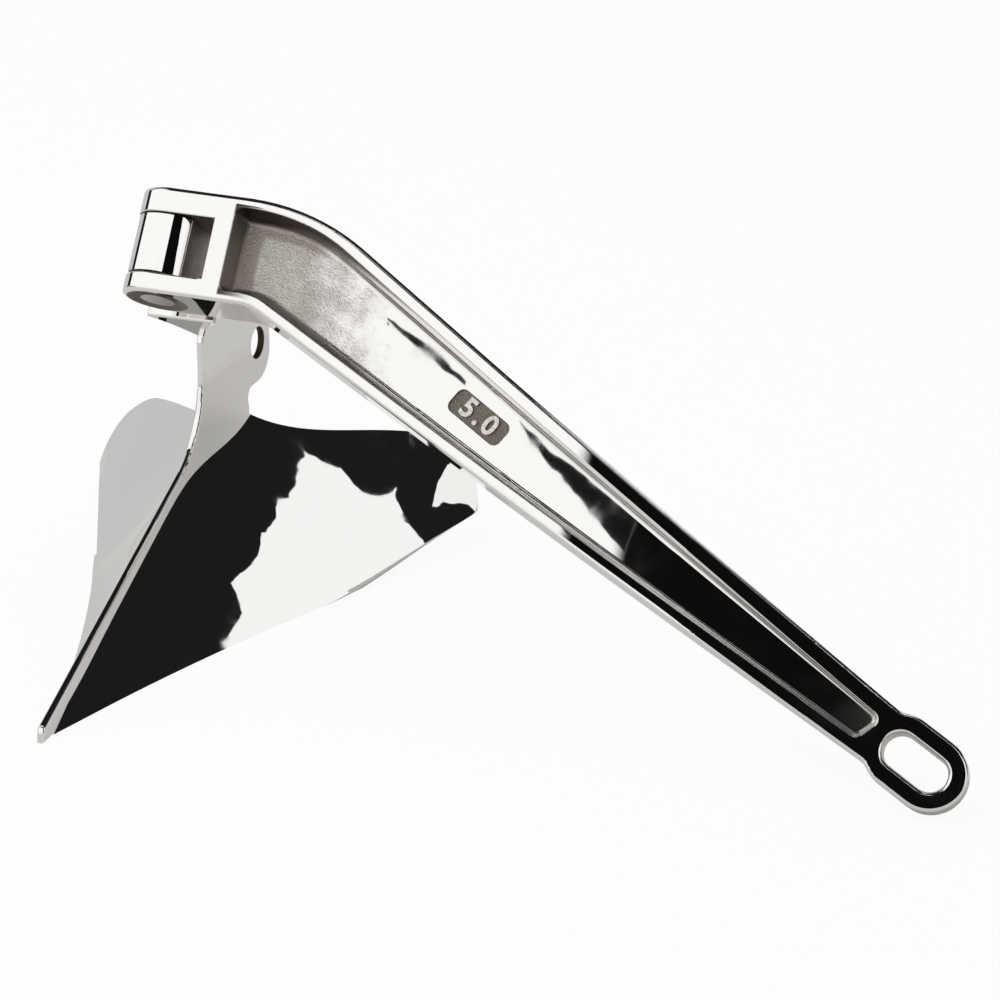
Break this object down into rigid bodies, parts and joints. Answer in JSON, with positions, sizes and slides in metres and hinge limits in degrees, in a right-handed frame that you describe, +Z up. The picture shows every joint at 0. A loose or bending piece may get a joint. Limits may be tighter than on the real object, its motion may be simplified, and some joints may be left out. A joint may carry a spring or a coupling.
{
  "type": "hinged plough anchor",
  "caption": "Polished plough anchor: curved shares on a spine and web, hinged on a pin to a long pocketed shank that ends in an oblong eye.",
  "frame": {"origin": "middle of the foot of the box, on the ground the anchor lies on", "axes": "+X to the side the shank is swung to, +Y from the tip of the plough back, +Z up"},
  "size_m": [0.5646, 0.3236, 0.2366],
  "materials": {
    "polished_stainless": "mirror polished stainless steel, as cast in the pockets"
  },
  "bodies": {
    "plough": {"horn": "polished_stainless", "left_share": "polished_stainless", "right_share": "polished_stainless"},
    "shank": {"shank": "polished_stainless", "hinge_pin": "polished_stainless"}
  },
  "joints": [
    {"name": "shank_swing", "type": "hinge", "parent": "plough", "child": "shank", "pos_m": [-0.16651, -0.00838, 0.1811], "axis": [0, -0.5791, -0.8152], "range_deg": [-20.55, 209.45]}
  ]
}
